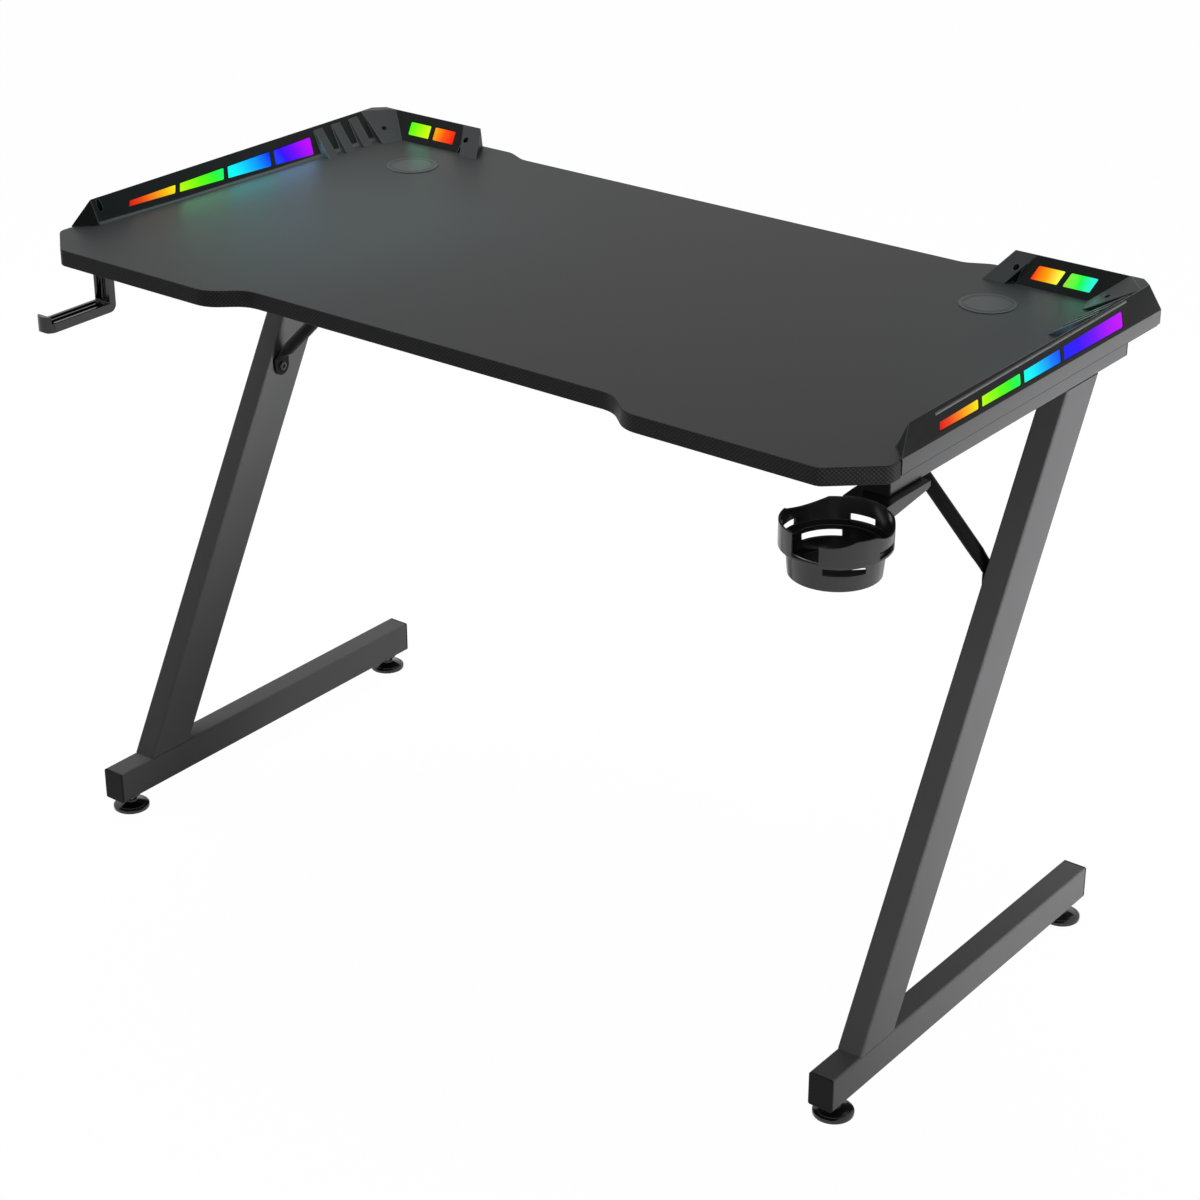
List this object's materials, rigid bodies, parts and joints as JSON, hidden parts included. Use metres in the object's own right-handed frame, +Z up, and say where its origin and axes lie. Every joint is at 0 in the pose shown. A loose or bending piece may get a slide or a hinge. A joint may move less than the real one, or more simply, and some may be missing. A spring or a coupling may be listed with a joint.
{
  "type": "gaming desk",
  "caption": "Z-leg gaming desk with a contoured dark board, light bars along its sides, cable grommets, cup holder, headphone hook and levelling feet.",
  "frame": {"origin": "on the floor, midway between the four levelling pads", "axes": "+X to the user's right, -Y towards the user, +Z up"},
  "size_m": [1.145, 0.643, 0.7785],
  "materials": {
    "carbon_board": "dark satin film with a fine carbon weave on the edges",
    "frame_steel": "satin black powder coat",
    "end_cap_plastic": "matte black moulding",
    "light_bar_plastic": "fine-grained black moulding",
    "light_diffuser": "milky diffuser lit from behind",
    "led_board": "white circuit strip",
    "grommet_plastic": "matte black moulding",
    "accessory_plastic": "semi-gloss black moulding",
    "foot_plastic": "gloss black moulding",
    "zinc_stem": "zinc plated thread",
    "dark_fasteners": "black oxide"
  },
  "bodies": {
    "frame": {"accessory_screws": "dark_fasteners", "beam_bolts": "dark_fasteners", "board_screws": "dark_fasteners", "cross_beam": "frame_steel", "cup_holder": "accessory_plastic", "desktop_board": "carbon_board", "foot_bar_caps": "end_cap_plastic", "front_left_foot_insert": "foot_plastic", "front_right_foot_insert": "foot_plastic", "headphone_hook": "accessory_plastic", "left_beam_end_plate": "frame_steel", "left_foot_bar": "frame_steel", "left_grommet_liner": "grommet_plastic", "left_led_strips": "led_board", "left_leg": "frame_steel", "left_light_bar": "light_bar_plastic", "left_light_windows": "light_diffuser", "left_strut": "frame_steel", "left_top_rail": "frame_steel", "light_bar_screws": "dark_fasteners", "rail_caps": "end_cap_plastic", "rear_left_foot_insert": "foot_plastic", "rear_right_foot_insert": "foot_plastic", "right_beam_end_plate": "frame_steel", "right_foot_bar": "frame_steel", "right_grommet_liner": "grommet_plastic", "right_led_strips": "led_board", "right_leg": "frame_steel", "right_light_bar": "light_bar_plastic", "right_light_windows": "light_diffuser", "right_strut": "frame_steel", "right_top_rail": "frame_steel", "strut_bolts": "dark_fasteners"},
    "front_left_foot_thread": {"front_left_foot_stem": "zinc_stem"},
    "front_left_foot_turning_pad": {"front_left_foot_pad": "foot_plastic"},
    "rear_left_foot_thread": {"rear_left_foot_stem": "zinc_stem"},
    "rear_left_foot_turning_pad": {"rear_left_foot_pad": "foot_plastic"},
    "front_right_foot_thread": {"front_right_foot_stem": "zinc_stem"},
    "front_right_foot_turning_pad": {"front_right_foot_pad": "foot_plastic"},
    "rear_right_foot_thread": {"rear_right_foot_stem": "zinc_stem"},
    "rear_right_foot_turning_pad": {"rear_right_foot_pad": "foot_plastic"},
    "left_grommet_lid": {"left_grommet_cap": "grommet_plastic"},
    "right_grommet_lid": {"right_grommet_cap": "grommet_plastic"}
  },
  "joints": [
    {"name": "front_left_foot_travel", "type": "slide", "parent": "frame", "child": "front_left_foot_thread", "axis": [0, 0, -1], "range_m": [0, 0.009]},
    {"name": "front_left_foot_turn", "type": "hinge", "parent": "front_left_foot_thread", "child": "front_left_foot_turning_pad", "pos_m": [-0.527, -0.242, 0], "axis": [0, 0, -1], "range_deg": [0, 2520]},
    {"name": "rear_left_foot_travel", "type": "slide", "parent": "frame", "child": "rear_left_foot_thread", "axis": [0, 0, -1], "range_m": [0, 0.009]},
    {"name": "rear_left_foot_turn", "type": "hinge", "parent": "rear_left_foot_thread", "child": "rear_left_foot_turning_pad", "pos_m": [-0.527, 0.242, 0], "axis": [0, 0, -1], "range_deg": [0, 2520]},
    {"name": "front_right_foot_travel", "type": "slide", "parent": "frame", "child": "front_right_foot_thread", "axis": [0, 0, -1], "range_m": [0, 0.009]},
    {"name": "front_right_foot_turn", "type": "hinge", "parent": "front_right_foot_thread", "child": "front_right_foot_turning_pad", "pos_m": [0.527, -0.242, 0], "axis": [0, 0, -1], "range_deg": [0, 2520]},
    {"name": "rear_right_foot_travel", "type": "slide", "parent": "frame", "child": "rear_right_foot_thread", "axis": [0, 0, -1], "range_m": [0, 0.009]},
    {"name": "rear_right_foot_turn", "type": "hinge", "parent": "rear_right_foot_thread", "child": "rear_right_foot_turning_pad", "pos_m": [0.527, 0.242, 0], "axis": [0, 0, -1], "range_deg": [0, 2520]},
    {"name": "left_grommet_lift", "type": "slide", "parent": "frame", "child": "left_grommet_lid", "axis": [0, 0, 1], "range_m": [0, 0.03]},
    {"name": "right_grommet_lift", "type": "slide", "parent": "frame", "child": "right_grommet_lid", "axis": [0, 0, 1], "range_m": [0, 0.03]}
  ],
  "couplings": [
    {"joint": "front_left_foot_travel", "follows": "front_left_foot_turn", "m_per_rad": 0.00019894},
    {"joint": "rear_left_foot_travel", "follows": "rear_left_foot_turn", "m_per_rad": 0.00019894},
    {"joint": "front_right_foot_travel", "follows": "front_right_foot_turn", "m_per_rad": 0.00019894},
    {"joint": "rear_right_foot_travel", "follows": "rear_right_foot_turn", "m_per_rad": 0.00019894}
  ]
}
